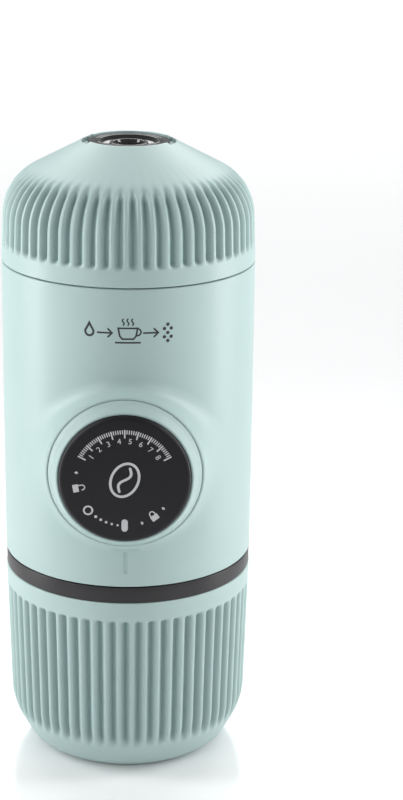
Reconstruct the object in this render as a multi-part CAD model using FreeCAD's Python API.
import FreeCAD, Part
import math
import os

from FreeCAD import Rotation, Vector

# A handheld manual espresso maker, stored upright: the outlet cap on top, the pump
# knob facing -Y, and the drinking cup over the water tank at the bottom. Sizes are
# in millimetres. Z is up, from the flat base of the cup, on the axis of the body.

# Outer casing
body_radius = 31.0
body_height = 74.2
shell_wall = 2.2
cup_height = 48.0
collar_height = 4.1
collar_inset = 0.15
head_height = 29.1
seam_gap = 0.3

# Clearances
running_gap = 0.10
bonded_gap = 0.05
seat_gap = 0.10
thread_gap = 0.35
loose_gap = 0.30

# Outlet cap
lip_radius = 10.5
outlet_radius = 10.0
lip_round = 0.45
shoulder_drop = 10.4
shoulder_inset = 0.65
head_bend = 13.0
notch_width = 10.0
notch_depth = 1.4
insert_wall = 2.0
nozzle_radius = 7.9
nozzle_depth = 2.5
spout_radius = 1.3
spout_ring_radius = 4.2
spout_ring_drop = 0.8

# Cup
cup_wall = 2.0
cup_floor = 2.4
cup_corner_radius = 30.0
cup_corner_height = 10.3
cup_foot_radius = 24.3
cup_bend = 15.8
foot_round = 6.7

# Flutes of the cap and the cup
flute_count = 60
flute_depth = 0.85
flute_floor = 0.35
flute_slope = 1.0
flute_run_out = 1.2
head_flute_rise = 4.1
cup_flute_drop = 4.7
head_flute_end = 0.86
cup_flute_end = 0.70

# Threads, drawn as plain cylinders
neck_radius = 26.4
neck_height = 7.5
neck_wall = 3.0
brew_thread_radius = 26.4
brew_thread_rise = 6.1
brew_wall = 1.8

# Boss and knob, measured along the pump axis
pump_rise = 30.8
boss_radius = 18.9
boss_proud = 4.6
boss_draft = 0.5
boss_blend = 3.0
boss_round = 0.8
knob_radius = 15.6
knob_proud = 9.0
knob_face = 3.0
knob_wall = 2.0
knob_round = 1.1
bezel_width = 2.0
bezel_depth = 2.1
bezel_slope = 1.3
sleeve_wall = 1.5
housing_wall = 1.7
housing_floor = 3.0
key_width = 3.0
key_height = 0.8
key_length = 4.0
lock_turn = 45.0
lock_tab_arc = 20.0
lock_tab_length = 1.5
index_length = 5.5
index_width = 0.9
index_depth = 0.45
index_drop = 24.45

# Pump
pump_stroke = 18.0
rod_radius = 5.2
rod_boss_radius = 7.0
rod_boss_length = 5.0
seal_width = 2.4
seal_groove = 1.2
seal_margin = 2.5
rod_nose = 1.1
chamber_length = 3.5
cylinder_wall = 2.7
flange_radius = 12.5
flange_thickness = 2.0
flange_gap = 0.8
spring_radius = 10.4
spring_wire = 1.2
spring_turns = 6
block_margin = 4.0

# Chassis and valves
bulkhead = 4.0
valve_radius = 3.2
valve_wall = 2.8
port_radius = 1.3
seat_length = 3.0
ball_radius = 2.0
ball_lift = 1.2
valve_spring_wire = 0.35
valve_spring_turns = 4
lower_valve_depth = 10.9
upper_valve_depth = 14.0
retainer_length = 3.0

# Brewing end
brew_depth = 16.6
brew_chamber_radius = 18.0
brew_flange = 3.0
screen_rise = 4.6
screen_radius = 20.0
screen_thickness = 0.6
screen_hole_radius = 0.7
screen_ring_radii = (6.5, 13.0)
screen_hole_spacing = 6.8
ledge_rise = 6.3
basket_seal_height = 1.9
basket_radius = 20.6
basket_sheet = 0.5
basket_height = 20.1
basket_flange = 0.7
basket_round = 2.0
basket_hole_radius = 0.6
basket_ring_radii = (5.0, 10.0, 15.0)
basket_hole_spacing = 6.2
outlet_seal_height = 0.9
clamp_wall = 3.0

# Water tank
tank_radius = 26.6
tank_wall = 1.8
tank_lap = 2.1
tank_spigot = 5.0
tank_base = 4.6
tank_floor = 2.0
tank_seal_height = 1.8
vent_radius = 2.0

# Small screws
screw_radius = 1.2
screw_head_radius = 2.1
screw_head = 1.4
screw_reach = 6.0
collar_screw_circle = 23.6
cylinder_screw_circle = 10.4

# Levels from the base up
collar_level = cup_height
body_level = cup_height + collar_height + seam_gap
body_top = body_level + body_height
head_level = body_top + seam_gap
head_top = head_level + head_height
neck_top = cup_height + collar_height + neck_height
frame_level = neck_top + tank_seal_height + 2 * seat_gap
pump_level = body_level + pump_rise
brew_level = body_top - brew_depth
ledge_level = brew_level + ledge_rise
basket_level = ledge_level + basket_seal_height + 2 * seat_gap
clamp_level = basket_level + basket_flange + outlet_seal_height + 2 * seat_gap
brew_thread_top = head_level + brew_thread_rise

# Radii shared by pieces that fit each other
inner_radius = body_radius - shell_wall
frame_radius = inner_radius - 2 * running_gap
bore_radius = rod_radius + running_gap
liner_radius = bore_radius + cylinder_wall
sleeve_bore = knob_radius + running_gap
sleeve_radius = sleeve_bore + sleeve_wall
housing_bore = sleeve_radius + running_gap
bezel_bore = knob_radius + loose_gap
bezel_radius = bezel_bore + bezel_width
seal_bore = brew_thread_radius - brew_wall

# Stations along the pump axis, counted outwards from the axis of the body
knob_front = body_radius + knob_proud
boss_front = body_radius + boss_proud
bezel_back = boss_front - bezel_depth
key_front = bezel_back - 2 * running_gap - pump_stroke
skirt_end = key_front - key_length
flange_front = skirt_end - flange_gap
housing_front = flange_front - flange_thickness
housing_back = housing_front - housing_floor
seal_front = flange_front - seal_margin - pump_stroke
seal_back = seal_front - seal_width
rod_tip = seal_back - rod_nose
liner_end = seal_back - rod_nose / 2
chamber_end = rod_tip - chamber_length
valve_y = -(rod_tip + chamber_end) / 2


def wire_of(corners):
    """A closed outline in the XZ plane through (radius, height, round) corners.

    A round under a millimetre is drawn as a flat, as a small broken edge is."""
    spots = [Vector(c[0], 0, c[1]) for c in corners]
    rounds = [c[2] if len(c) > 2 else 0 for c in corners]
    entries = []
    exits = []
    arcs = []
    for i, spot in enumerate(spots):
        if not rounds[i]:
            entries.append(spot)
            exits.append(spot)
            arcs.append(None)
            continue
        back = (spots[i - 1] - spot).normalize()
        ahead = (spots[(i + 1) % len(spots)] - spot).normalize()
        half = back.getAngle(ahead) / 2
        reach = rounds[i] / math.tan(half)
        middle = (back + ahead).normalize() * (rounds[i] / math.sin(half) - rounds[i])
        entries.append(spot + back * reach)
        exits.append(spot + ahead * reach)
        if rounds[i] < 1:
            arcs.append(Part.makeLine(entries[i], exits[i]))
        else:
            arcs.append(Part.Arc(entries[i], spot + middle, exits[i]).toShape())
    edges = []
    for i in range(len(spots)):
        if arcs[i - 1]:
            edges.append(arcs[i - 1])
        if (entries[i] - exits[i - 1]).Length > 1e-6:
            edges.append(Part.makeLine(exits[i - 1], entries[i]))
    return Part.Wire(edges)


def lathe(corners):
    """A round piece about Z from its half outline."""
    face = Part.Face(wire_of(corners))
    return face.revolve(Vector(0, 0, 0), Vector(0, 0, 1), 360)


def tube(outer, inner, low, high):
    """A plain ring about Z."""
    return lathe([(inner, low), (outer, low), (outer, high), (inner, high)])


def rod(radius, low, high, x=0.0, y=0.0):
    """A plain cylinder along Z."""
    return Part.makeCylinder(radius, high - low, Vector(x, y, low))


def block(x, y, z):
    """A box from three (low, high) spans."""
    size = [span[1] - span[0] for span in (x, y, z)]
    return Part.makeBox(*size, Vector(x[0], y[0], z[0]))


def on_pump(shape):
    """Lays a shape made about Z along the pump axis, so its height reaches out to -Y."""
    shape = shape.copy()
    shape.rotate(Vector(0, 0, 0), Vector(1, 0, 0), 90)
    shape.translate(Vector(0, 0, pump_level))
    return shape


def ring_of(shape, count, first=0.0, span=360.0):
    """Copies of a shape, evenly turned about Z."""
    copies = []
    for i in range(count):
        copy = shape.copy()
        copy.rotate(Vector(0, 0, 0), Vector(0, 0, 1), first + i * span / count)
        copies.append(copy)
    return copies


def coil(radius, wire, low, high, turns):
    """A compression spring of square wire about Z, standing between two levels."""
    height = high - low - wire
    path = Part.makeHelix(height / turns, height, radius)
    half = wire / 2
    corners = [(-half, -half), (half, -half), (half, half), (-half, half), (-half, -half)]
    section = Part.makePolygon([Vector(radius + a, 0, b) for a, b in corners])
    shell = Part.Wire(path.Edges).makePipeShell([section], True, True)
    shell.translate(Vector(0, 0, low + half))
    return shell


def flute_stations(start, corner, finish, bend, end):
    """Places along a fluted wall: down the straight, then round the shoulder.

    Each is (point, outward normal, depth). The flute fades out at both ends."""
    start = Vector(start[0], 0, start[1])
    corner = Vector(corner[0], 0, corner[1])
    finish = Vector(finish[0], 0, finish[1])
    run = (corner - start).normalize()
    turn = run.getAngle(finish - corner)
    axis = Vector(0, 1, 0) if run.cross(finish - corner).y > 0 else Vector(0, -1, 0)
    inward = axis.cross(run)
    bend_start = corner - run * (bend * math.tan(turn / 2))
    centre = bend_start + inward * bend
    stations = [
        (start, inward * -1, -0.05),
        (start + run * flute_run_out, inward * -1, flute_depth),
        (bend_start, inward * -1, flute_depth),
    ]
    steps = max(2, round(math.degrees(turn) * end / 20))
    for i in range(1, steps + 1):
        spin = Rotation(axis, math.degrees(turn * end * i / steps))
        normal = spin.multVec(inward * -1)
        depth = flute_depth if i < steps else -0.05
        stations.append((centre + normal * bend, normal, depth))
    return stations


def flute_cutter(stations):
    """One flute as a solid to cut away: a flat floor between two sloping flanks."""
    sections = []
    proud = 1.0
    for point, normal, depth in stations:
        floor = point - normal * depth
        top = point + normal * proud
        low = Vector(0, flute_floor, 0)
        wide = Vector(0, flute_floor + flute_slope * (depth + proud), 0)
        corners = [floor - low, floor + low, top + wide, top - wide, floor - low]
        sections.append(Part.makePolygon(corners))
    return Part.makeLoft(sections, True, True)


def cap_corner(depth):
    """Where wall and cone would meet, on the skin that lies a given depth inside the cap."""
    outer = body_radius - shoulder_inset
    cone = cap_cone()
    drop = depth * (1 / math.cos(cone) - math.tan(cone))
    return (outer - depth, head_top - shoulder_drop - drop)


def cap_cone():
    """The cone's angle above level."""
    return math.atan2(shoulder_drop, body_radius - shoulder_inset - lip_radius)


def cap_skin(radius, depth):
    """Height of the cone at a radius, on the skin a given depth inside the cap."""
    cone = cap_cone()
    return head_top - (radius - lip_radius) * math.tan(cone) - depth / math.cos(cone)


def outlet_head():
    """The soft-touch cap: a fluted wall, a round shoulder and a shallow cone."""
    corner = cap_corner(0)
    cap = lathe([
        (body_radius, head_level),
        (*corner, head_bend),
        (lip_radius, head_top, lip_round),
        (outlet_radius, head_top),
        (outlet_radius, cap_skin(outlet_radius, shell_wall)),
        (*cap_corner(shell_wall), head_bend - shell_wall),
        (inner_radius, head_level),
    ])
    notches = block((-outlet_radius - 2 * shell_wall, outlet_radius + 2 * shell_wall),
                    (-notch_width / 2, notch_width / 2), (head_top - notch_depth, head_top + 1))
    keep = rod(outlet_radius + notch_depth, head_top - notch_depth - 1, head_top + 2)
    cap = cap.cut(notches.common(keep))
    stations = flute_stations((body_radius, head_level + head_flute_rise), corner,
                              (lip_radius, head_top), head_bend, head_flute_end)
    half_pitch = 180.0 / flute_count
    return cap.cut(ring_of(flute_cutter(stations), flute_count, half_pitch - 90))


def outlet_insert():
    """The black inner cap: female thread, clamp ring for the basket and the nozzle seat."""
    under = shell_wall + running_gap
    inside = under + insert_wall
    inner = brew_thread_radius + thread_gap
    hub = outlet_radius - running_gap
    clamp = seal_bore - loose_gap
    clamp_bore = clamp - clamp_wall
    throat = nozzle_radius - 1.0
    ledge = head_top - 3 * running_gap - nozzle_depth
    return lathe([
        (nozzle_radius + running_gap, head_top - loose_gap),
        (hub, head_top - loose_gap, lip_round / 2),
        (hub, cap_skin(hub, under)),
        (*cap_corner(under), head_bend - under),
        (inner_radius - running_gap, head_level + loose_gap),
        (inner, head_level + loose_gap),
        (inner, brew_thread_top + loose_gap),
        (clamp, brew_thread_top + loose_gap + 1.0),
        (clamp, clamp_level),
        (clamp_bore, clamp_level),
        (clamp_bore, cap_skin(clamp_bore, inside)),
        (throat, cap_skin(throat, inside)),
        (throat, ledge),
        (nozzle_radius + running_gap, ledge),
    ])


def outlet_nozzle():
    """The stepped disc that the coffee leaves through."""
    top = head_top - 3 * running_gap
    base = top - nozzle_depth
    ring_top = head_top - spout_ring_drop
    return lathe([
        (spout_radius, base - 1.0),
        (spout_radius + 1.2, base - 1.0),
        (spout_radius + 1.2, base),
        (nozzle_radius, base),
        (nozzle_radius, top, 0.3),
        (nozzle_radius - 0.9, top),
        (nozzle_radius - 1.6, top - 1.0),
        (spout_ring_radius + 0.7, top - 1.4),
        (spout_ring_radius + 0.35, ring_top),
        (spout_ring_radius - 0.35, ring_top),
        (spout_ring_radius - 0.9, ring_top - 1.2),
        (spout_radius, ring_top - 1.3),
    ])


def main_body():
    """The plain tube with its boss, bored for the pump and blended into the wall."""
    wall = rod(body_radius, body_level, body_top)
    foot = boss_radius + boss_draft
    boss = on_pump(Part.makeCone(foot, boss_radius, boss_front))
    body = wall.fuse(boss)
    blend = [e for e in body.Edges if on_both(e, foot)]
    body = body.makeFillet(boss_blend, blend)
    rim = [e for e in body.Edges if on_front(e)]
    body = body.makeFillet(boss_round, rim)
    body = body.cut(rod(inner_radius, body_level - 1, brew_level + brew_flange))
    lip = brew_thread_radius + 4 * loose_gap
    body = body.cut(rod(lip, body_level - 1, body_top + 1))
    bore = on_pump(Part.makeCylinder(housing_bore, boss_front))
    seat = on_pump(rod(bezel_radius + bonded_gap, bezel_back, boss_front + 1))
    body = body.cut([bore, seat])
    return body.cut(index_mark())


def on_both(edge, foot):
    """Whether an edge is where the boss meets the round wall, at the front."""
    for point in edge.discretize(7):
        across = math.hypot(point.x, point.z - pump_level)
        if abs(math.hypot(point.x, point.y) - body_radius) > 0.01:
            return False
        if abs(across - foot) > boss_draft + 0.01 or point.y > 0:
            return False
    return True


def on_front(edge):
    """Whether an edge is the boss's front rim."""
    return all(abs(point.y + boss_front) < 0.01 for point in edge.discretize(5))


def index_mark():
    """The shallow groove under the boss that the knob's mark points at."""
    middle = pump_level - index_drop
    depth = Vector(0, -body_radius - index_width / 2 + index_depth, 0)
    half = index_length / 2 - index_width / 2
    groove = rod(index_width / 2, middle - half, middle + half)
    ends = [Part.makeSphere(index_width / 2, Vector(0, 0, middle + s * half)) for s in (-1, 1)]
    groove = groove.fuse(ends)
    groove.translate(depth)
    return groove


def pump_bezel():
    """The ring round the knob, which holds the sleeve in."""
    return on_pump(lathe([
        (bezel_bore, bezel_back),
        (bezel_radius, bezel_back),
        (bezel_radius, boss_front, 0.3),
        (bezel_bore, boss_front + bezel_slope, 0.4),
    ]))


def guide_sleeve():
    """The sleeve that the knob slides in and turns with, locked by a part turn."""
    sleeve = tube(sleeve_radius, sleeve_bore, housing_front + loose_gap, bezel_back - running_gap)
    slot = key_width / 2 + running_gap
    depth = sleeve_bore + key_height
    keyway = block((-depth, depth), (-slot, slot), (0, knob_front))
    keyway = keyway.common(rod(depth, 0, knob_front))
    return on_pump(sleeve.cut(keyway).fuse(lock_tab(0.0, lock_tab_arc, 0.0)))


def lock_tab(first, arc, spare):
    """A curved tab behind the sleeve, which runs in a slot as wide as the lock's turn."""
    low = housing_front - lock_tab_length
    outer = sleeve_radius + spare
    inner = sleeve_bore + 0.2 - spare
    face = Part.Face(wire_of([(inner, low - spare), (outer, low - spare),
                              (outer, housing_front + 1), (inner, housing_front + 1)]))
    tab = face.revolve(Vector(0, 0, 0), Vector(0, 0, 1), arc)
    tab.rotate(Vector(0, 0, 0), Vector(0, 0, 1), first)
    return tab


def pump_knob():
    """The cap that the thumb pushes, with a skirt and two keys."""
    inside = knob_front - knob_face
    skirt = knob_radius - knob_wall
    socket = rod_radius + bonded_gap
    knob = lathe([
        (0, knob_front),
        (knob_radius, knob_front, knob_round),
        (knob_radius, skirt_end),
        (skirt, skirt_end),
        (skirt, inside),
        (rod_boss_radius, inside),
        (rod_boss_radius, inside - rod_boss_length),
        (socket, inside - rod_boss_length),
        (socket, inside),
        (0, inside),
    ])
    half = key_width / 2
    reach = knob_radius + key_height - running_gap
    key = block((-reach, reach), (-half, half), (skirt_end, key_front))
    key = key.common(tube(reach, knob_radius - knob_wall / 2, skirt_end, key_front))
    return on_pump(knob.fuse(key))


def plunger_rod():
    """The polished rod that is its own piston, grooved for the seal."""
    groove = rod_radius - seal_groove
    return on_pump(lathe([
        (0, knob_front - knob_face),
        (0, rod_tip),
        (rod_radius - 0.6, rod_tip),
        (rod_radius, rod_tip + 0.6),
        (rod_radius, seal_back),
        (groove, seal_back),
        (groove, seal_front),
        (rod_radius, seal_front),
        (rod_radius, knob_front - knob_face),
    ]))


def piston_seal():
    """The lip seal in the rod's groove."""
    low = seal_back + bonded_gap
    high = seal_front - bonded_gap
    lip = bore_radius - running_gap / 2
    core = rod_radius - seal_groove + bonded_gap
    middle = (low + high) / 2
    return on_pump(lathe([
        (core, low), (lip, low), (lip, low + 0.6), (lip - 0.35, middle),
        (lip, high - 0.6), (lip, high), (core, high),
    ]))


def return_spring():
    """The spring behind the knob, pressed between its face and the liner's flange."""
    low = flange_front + seat_gap
    high = knob_front - knob_face - seat_gap
    return on_pump(coil(spring_radius, spring_wire, low, high, spring_turns))


def pump_cylinder():
    """The liner of the pump, with the flange that the spring stands on."""
    groove = liner_radius - seal_groove
    liner = lathe([
        (bore_radius, liner_end),
        (liner_radius, liner_end),
        (liner_radius, liner_end + 1.6),
        (groove, liner_end + 1.6),
        (groove, liner_end + 1.6 + seal_width),
        (liner_radius, liner_end + 1.6 + seal_width),
        (liner_radius, housing_front),
        (flange_radius, housing_front),
        (flange_radius, flange_front),
        (bore_radius + 0.5, flange_front),
        (bore_radius, flange_front - 0.5),
    ])
    return on_pump(liner.cut(cylinder_screw_set(running_gap)))


def cylinder_seal():
    """The seal between the liner and the frame."""
    low = liner_end + 1.6 + bonded_gap
    high = low + seal_width - 2 * bonded_gap
    inner = liner_radius - seal_groove + bonded_gap
    return on_pump(tube(liner_radius + bonded_gap / 2, inner, low, high))


def cylinder_screw_set(spare):
    """Three countersunk screws that hold the liner's flange, flush with its face."""
    shank = screw_radius + spare
    head = screw_head_radius + spare
    low = housing_back + 0.6 - spare
    screw = lathe([
        (0, low),
        (shank, low),
        (shank, flange_front - screw_head),
        (head, flange_front - (screw_head - 0.9)),
        (head, flange_front),
        (0, flange_front),
    ])
    screw.translate(Vector(cylinder_screw_circle, 0, 0))
    return ring_of(screw, 3, 30)


def cylinder_screws():
    return Part.makeCompound([on_pump(s) for s in cylinder_screw_set(0.0)])


def pump_chassis():
    """The moulded frame: two bulkheads, the sleeve's housing and the pump's block."""
    top = brew_level
    low_plate = rod(frame_radius, frame_level, frame_level + bulkhead)
    high_plate = rod(frame_radius, top - bulkhead, top)
    housing = on_pump(rod(housing_bore + housing_wall, housing_back, body_radius))
    half = liner_radius + block_margin
    core = block((-half, half), (-housing_back - 1, -chamber_end + block_margin),
                 (pump_level - half, pump_level + half))
    column = rod(valve_radius + valve_wall, frame_level, top, 0, valve_y)
    ribs = [block((s - 1, s + 1), (-valve_y, valve_y), (frame_level, top)) for s in (-half + 1, half - 1)]
    chassis = low_plate.fuse([high_plate, housing, core, column] + ribs)
    chassis = chassis.common(rod(frame_radius, frame_level, top))
    sleeve_bore_cut = on_pump(rod(housing_bore, housing_front, body_radius + 1))
    liner_cut = on_pump(rod(liner_radius + bonded_gap, liner_end, housing_front + 1))
    chamber_cut = on_pump(rod(bore_radius, chamber_end, housing_front + 1))
    tab_slot = on_pump(lock_tab(-2.0, lock_tab_arc + lock_turn + 4.0, running_gap))
    chassis = chassis.cut([sleeve_bore_cut, liner_cut, chamber_cut, tab_slot])
    lower = rod(valve_radius, frame_level, frame_level + lower_valve_depth, 0, valve_y)
    upper = rod(valve_radius, top - bulkhead - upper_valve_depth, top, 0, valve_y)
    port = rod(port_radius, frame_level, top, 0, valve_y)
    channel = block((-valve_radius, valve_radius), (0, valve_y), (top - 1.5, top))
    holes = [on_pump(s) for s in cylinder_screw_set(bonded_gap)]
    chassis = chassis.cut([lower, upper, port, channel] + holes + collar_screw_set(bonded_gap))
    return chassis.cut(shower_screw_at(bonded_gap))


def valve_seat(low):
    """A turned seat for a valve ball, with a conical mouth."""
    high = low + seat_length
    body = lathe([
        (port_radius, low),
        (valve_radius - bonded_gap, low),
        (valve_radius - bonded_gap, high),
        (port_radius + 1.1, high),
        (port_radius, high - 1.1),
    ])
    body.translate(Vector(0, valve_y, 0))
    return body


def ball_centre(seat_low):
    """Height of a ball just clear of its seat's cone."""
    cone_apex = seat_low + seat_length - 1.1 - port_radius
    return cone_apex + (ball_radius + bonded_gap) * math.sqrt(2)


def valve_ball(seat_low):
    """A steel ball on its seat."""
    return Part.makeSphere(ball_radius, Vector(0, valve_y, ball_centre(seat_low)))


def valve_spring(seat_low, high):
    """The light spring over a valve ball."""
    radius = ball_radius * 0.72
    low = ball_centre(seat_low) + math.sqrt(ball_radius ** 2 - (radius - 0.3) ** 2) + bonded_gap
    spring = coil(radius, valve_spring_wire, low, high, valve_spring_turns)
    spring.translate(Vector(0, valve_y, 0))
    return spring


def lower_seat_level():
    return frame_level


def upper_seat_level():
    return brew_level - bulkhead - upper_valve_depth


def discharge_retainer():
    """The drilled plug that holds the discharge spring down."""
    high = brew_level - 1.5 - running_gap
    ring = tube(valve_radius - bonded_gap, port_radius, high - retainer_length, high)
    ring.translate(Vector(0, valve_y, 0))
    return ring


def suction_spring():
    return valve_spring(lower_seat_level(), frame_level + lower_valve_depth - bonded_gap)


def discharge_spring():
    high = brew_level - 1.5 - running_gap - retainer_length
    return valve_spring(upper_seat_level(), high - bonded_gap)


def brew_collar():
    """The threaded ring that the cap screws onto, with ledges for screen and seal."""
    screen = brew_level + screen_rise
    inner = screen_radius + 2 * running_gap
    ring = lathe([
        (brew_chamber_radius, brew_level),
        (frame_radius, brew_level),
        (frame_radius, brew_level + brew_flange - running_gap),
        (brew_thread_radius, brew_level + brew_flange - running_gap),
        (brew_thread_radius, brew_thread_top, 0.5),
        (seal_bore, brew_thread_top),
        (seal_bore, ledge_level),
        (inner, ledge_level),
        (inner, screen),
        (brew_chamber_radius, screen),
    ])
    return ring.cut(collar_screw_set(bonded_gap))


def collar_screw_set(spare):
    """Four screws that pull the brewing ring down, driven from under the plate."""
    low = brew_level - bulkhead - screw_head
    high = brew_level + screw_reach - 1.5 + spare
    screw = lathe([
        (0, low - spare),
        (screw_head_radius + spare, low - spare),
        (screw_head_radius + spare, low + screw_head),
        (screw_radius + spare, low + screw_head),
        (screw_radius + spare, high),
        (0, high),
    ])
    screw.translate(Vector(collar_screw_circle, 0, 0))
    return ring_of(screw, 4, 45)


def collar_screws():
    return Part.makeCompound(collar_screw_set(0.0))


def hole_rings(radius, ring_radii, spacing, low, high):
    """Drills for a perforated disc: one in the middle and rings of evenly spaced ones."""
    drills = [rod(radius, low, high)]
    for ring in ring_radii:
        count = int(2 * math.pi * ring / spacing)
        drills += ring_of(rod(radius, low, high, ring), count)
    return drills


def shower_screen():
    """The perforated disc that spreads the water over the coffee."""
    low = brew_level + screen_rise
    disc = rod(screen_radius, low, low + screen_thickness)
    drills = hole_rings(screen_hole_radius, screen_ring_radii, screen_hole_spacing, low - 1, low + 2)
    centre = rod(screw_radius + running_gap, low - 1, low + 2)
    return disc.cut(drills + [centre])


def shower_screw_at(spare):
    """The pan screw in the middle of the screen, and the post that it bites."""
    low = brew_level - bulkhead + 0.8 - spare
    high = brew_level + screen_rise + screen_thickness
    return lathe([
        (0, low),
        (screw_radius + spare, low),
        (screw_radius + spare, high),
        (screw_head_radius + 0.6, high),
        (screw_head_radius + 0.6, high + 0.9, 0.3),
        (0, high + 0.9),
    ])


def shower_screw():
    """The screen's screw, with the spacer under the screen that it runs through."""
    high = brew_level + screen_rise
    spacer = rod(screw_head_radius + 0.6, brew_level, high)
    return shower_screw_at(0.0).fuse(spacer)


def basket_seal():
    """The silicone ring under the basket's flange."""
    low = ledge_level + seat_gap
    inner = screen_radius + 4 * running_gap
    return tube(seal_bore - 2 * running_gap, inner + 0.4, low, low + basket_seal_height)


def filter_basket():
    """The pressed steel basket, mouth down, with its perforated floor on top."""
    top = basket_level + basket_height
    inner = basket_radius - basket_sheet
    flange = seal_bore - loose_gap
    basket = lathe([
        (0, top),
        (basket_radius, top, basket_round),
        (basket_radius, basket_level + basket_flange),
        (flange, basket_level + basket_flange),
        (flange, basket_level),
        (inner, basket_level),
        (inner, top - basket_sheet, basket_round - basket_sheet),
        (0, top - basket_sheet),
    ])
    drills = hole_rings(basket_hole_radius, basket_ring_radii, basket_hole_spacing, top - 1, top + 1)
    return basket.cut(drills)


def outlet_seal():
    """The thin ring that the cap presses on the basket's flange."""
    low = basket_level + basket_flange + seat_gap
    clamp = seal_bore - loose_gap
    return tube(clamp - running_gap, clamp - clamp_wall + running_gap, low, low + outlet_seal_height)


def tank_socket():
    """The threaded ring inside the body's foot that the tank screws into."""
    low = body_level + 2 * loose_gap
    return lathe([
        (neck_radius + thread_gap, low),
        (inner_radius - running_gap, low),
        (inner_radius - running_gap, frame_level),
        (neck_radius + thread_gap, frame_level),
    ])


def tank_seal():
    """The flat silicone ring between the tank's neck and the frame."""
    low = neck_top + seat_gap
    return tube(neck_radius - 2 * running_gap, neck_radius - neck_wall + 2 * running_gap,
                low, low + tank_seal_height)


def tank_collar():
    """The dark ring between body and cup: the tank's thread, grip and cup spigot in one."""
    high = collar_level + collar_height
    ledge = collar_level + tank_lap
    spigot = body_radius - cup_wall - 5 * running_gap
    grip = body_radius - collar_inset
    bore = tank_radius + bonded_gap
    return lathe([
        (bore, collar_level - tank_spigot),
        (spigot, collar_level - tank_spigot, 0.5),
        (spigot, collar_level),
        (grip, collar_level, 0.3),
        (grip, high, 0.3),
        (neck_radius, high),
        (neck_radius, neck_top, 0.5),
        (neck_radius - neck_wall, neck_top),
        (neck_radius - neck_wall, ledge),
        (bore, ledge),
    ])


def water_tank():
    """The clear tank, bonded into its collar and drawn in to follow the cup."""
    top = collar_level + tank_lap
    drawn = tank_radius - 0.7
    shoulder = tank_base + 9.4
    base = cup_foot_radius - cup_wall - 1.8
    tank = lathe([
        (0, tank_base),
        (base, tank_base, 2.5),
        (drawn, shoulder, 8.0),
        (tank_radius, top),
        (tank_radius - tank_wall, top),
        (drawn - tank_wall, shoulder + 0.6, 7.0),
        (base - tank_wall * 0.6, tank_base + tank_floor, 1.5),
        (0, tank_base + tank_floor),
    ])
    return tank.cut(rod(vent_radius, 0, tank_base + 2 * tank_floor))


def tank_vent_valve():
    """The silicone plug in the tank's floor that lets air in as water leaves."""
    stem = vent_radius - bonded_gap
    low = tank_base - 0.7
    high = tank_base + tank_floor
    return lathe([
        (0, low),
        (2 * vent_radius, low, 0.3),
        (2 * vent_radius, tank_base),
        (stem, tank_base),
        (stem, high),
        (stem + 0.6, high),
        (stem * 0.5, high + 2.0),
        (0, high + 2.0),
    ])


def drinking_cup():
    """The cup: a drafted, fluted wall, drawn in at the foot, with a flat base."""
    corner = (cup_corner_radius, cup_corner_height)
    rim = (body_radius, cup_height)
    inner_rim = body_radius - cup_wall
    cup = lathe([
        (0, 0),
        (cup_foot_radius, 0, foot_round),
        (corner[0], corner[1], cup_bend),
        (rim[0], rim[1], 0.3),
        (inner_rim, cup_height, 0.5),
        (corner[0] - cup_wall, corner[1] + cup_wall * 0.4, cup_bend - cup_wall),
        (cup_foot_radius - cup_wall * 0.9, cup_floor, foot_round - cup_wall),
        (0, cup_floor),
    ])
    flute_top = cup_height - cup_flute_drop
    lean = (rim[0] - corner[0]) * cup_flute_drop / (rim[1] - corner[1])
    stations = flute_stations((rim[0] - lean, flute_top), corner, (cup_foot_radius, 0),
                              cup_bend, cup_flute_end)
    return cup.cut(ring_of(flute_cutter(stations), flute_count, -90))


pieces = {
    "outlet_head": outlet_head,
    "outlet_insert": outlet_insert,
    "outlet_nozzle": outlet_nozzle,
    "outlet_seal": outlet_seal,
    "filter_basket": filter_basket,
    "basket_seal": basket_seal,
    "shower_screen": shower_screen,
    "shower_screw": shower_screw,
    "brew_collar": brew_collar,
    "collar_screws": collar_screws,
    "main_body": main_body,
    "pump_bezel": pump_bezel,
    "guide_sleeve": guide_sleeve,
    "pump_knob": pump_knob,
    "plunger_rod": plunger_rod,
    "piston_seal": piston_seal,
    "return_spring": return_spring,
    "pump_cylinder": pump_cylinder,
    "cylinder_seal": cylinder_seal,
    "cylinder_screws": cylinder_screws,
    "pump_chassis": pump_chassis,
    "suction_valve_seat": lambda: valve_seat(lower_seat_level()),
    "suction_ball": lambda: valve_ball(lower_seat_level()),
    "suction_spring": suction_spring,
    "discharge_valve_seat": lambda: valve_seat(upper_seat_level()),
    "discharge_ball": lambda: valve_ball(upper_seat_level()),
    "discharge_spring": discharge_spring,
    "discharge_retainer": discharge_retainer,
    "tank_socket": tank_socket,
    "tank_seal": tank_seal,
    "tank_collar": tank_collar,
    "water_tank": water_tank,
    "tank_vent_valve": tank_vent_valve,
    "drinking_cup": drinking_cup,
}

os.makedirs("parts", exist_ok=True)
for name, make in pieces.items():
    shape = make()
    shape.exportStep("parts/" + name + ".step")
    print(name, len(shape.Solids), round(shape.Volume, 1), shape.isValid())
